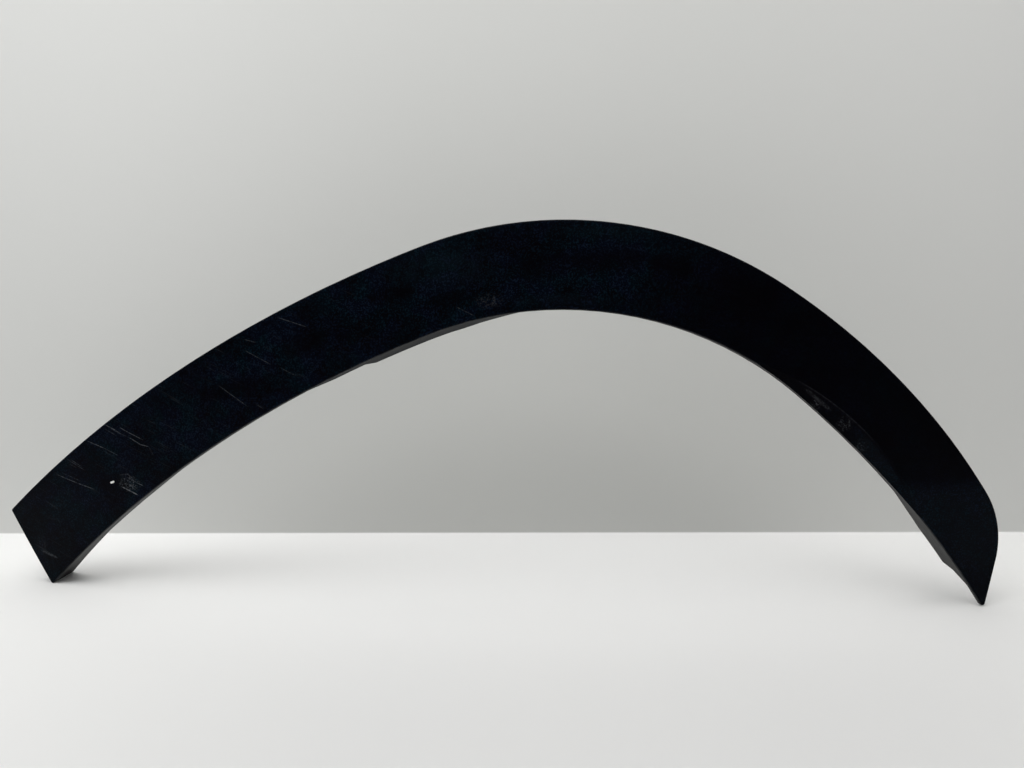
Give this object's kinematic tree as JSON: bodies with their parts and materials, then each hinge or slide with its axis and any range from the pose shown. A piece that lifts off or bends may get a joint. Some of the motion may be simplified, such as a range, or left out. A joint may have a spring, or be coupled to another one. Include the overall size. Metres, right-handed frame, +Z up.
{
  "type": "wheel arch trim",
  "caption": "Arched body-side moulding that edges a car's wheel opening: a bowed band with an inner return that deepens at three places and push-in clips on its back, square at one end and pointed at the other.",
  "frame": {"origin": "axis of the locating peg at the plane of the body panel, on the back of the trim in the middle of the crown", "axes": "+X along the car towards the pointed end, +Y into the car along the peg, +Z up; the face looks towards -Y"},
  "size_m": [0.9004, 0.1176, 0.3321],
  "materials": {
    "black_polypropylene": "fine moulded grain, satin, scuffed",
    "natural_nylon": "plain moulded"
  },
  "bodies": {
    "root": {"trim_moulding": "black_polypropylene", "retaining_clips": "natural_nylon"}
  },
  "joints": []
}
